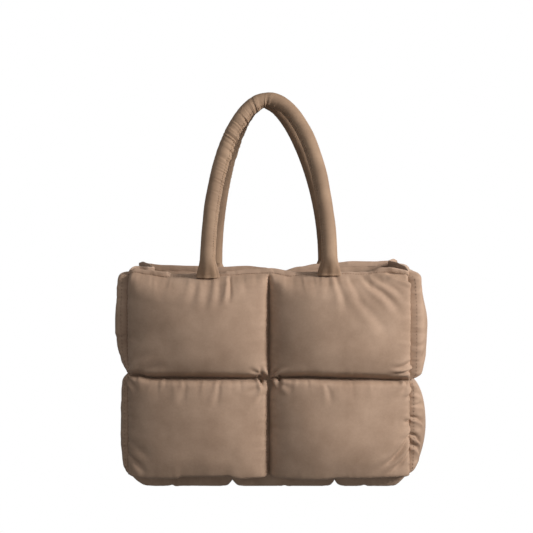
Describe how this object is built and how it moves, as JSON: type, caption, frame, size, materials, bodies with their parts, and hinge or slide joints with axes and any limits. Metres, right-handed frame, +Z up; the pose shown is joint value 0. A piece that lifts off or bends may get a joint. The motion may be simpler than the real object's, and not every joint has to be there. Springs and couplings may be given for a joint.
{
  "type": "quilted shoulder bag",
  "caption": "Puffed nylon tote with quilted padded panels, a bound open top and padded tube handles that lean together over it.",
  "frame": {"origin": "under the middle of the bag, on the surface that its flattened base rests on", "axes": "+X across the bag to the right as seen from the front, +Y from the front panel to the back panel, +Z up"},
  "size_m": [0.3962, 0.1862, 0.4897],
  "materials": {
    "quilted_nylon": "matt puffed nylon, taupe",
    "binding_nylon": "matt folded nylon strip, taupe",
    "handle_nylon": "matt nylon over a padded tube, taupe"
  },
  "bodies": {
    "root": {"front_panel": "quilted_nylon", "back_panel": "quilted_nylon", "side_panel_left": "quilted_nylon", "side_panel_right": "quilted_nylon", "base_panel": "quilted_nylon", "rim_strip": "binding_nylon", "handle_front": "handle_nylon", "handle_back": "handle_nylon"}
  },
  "joints": []
}
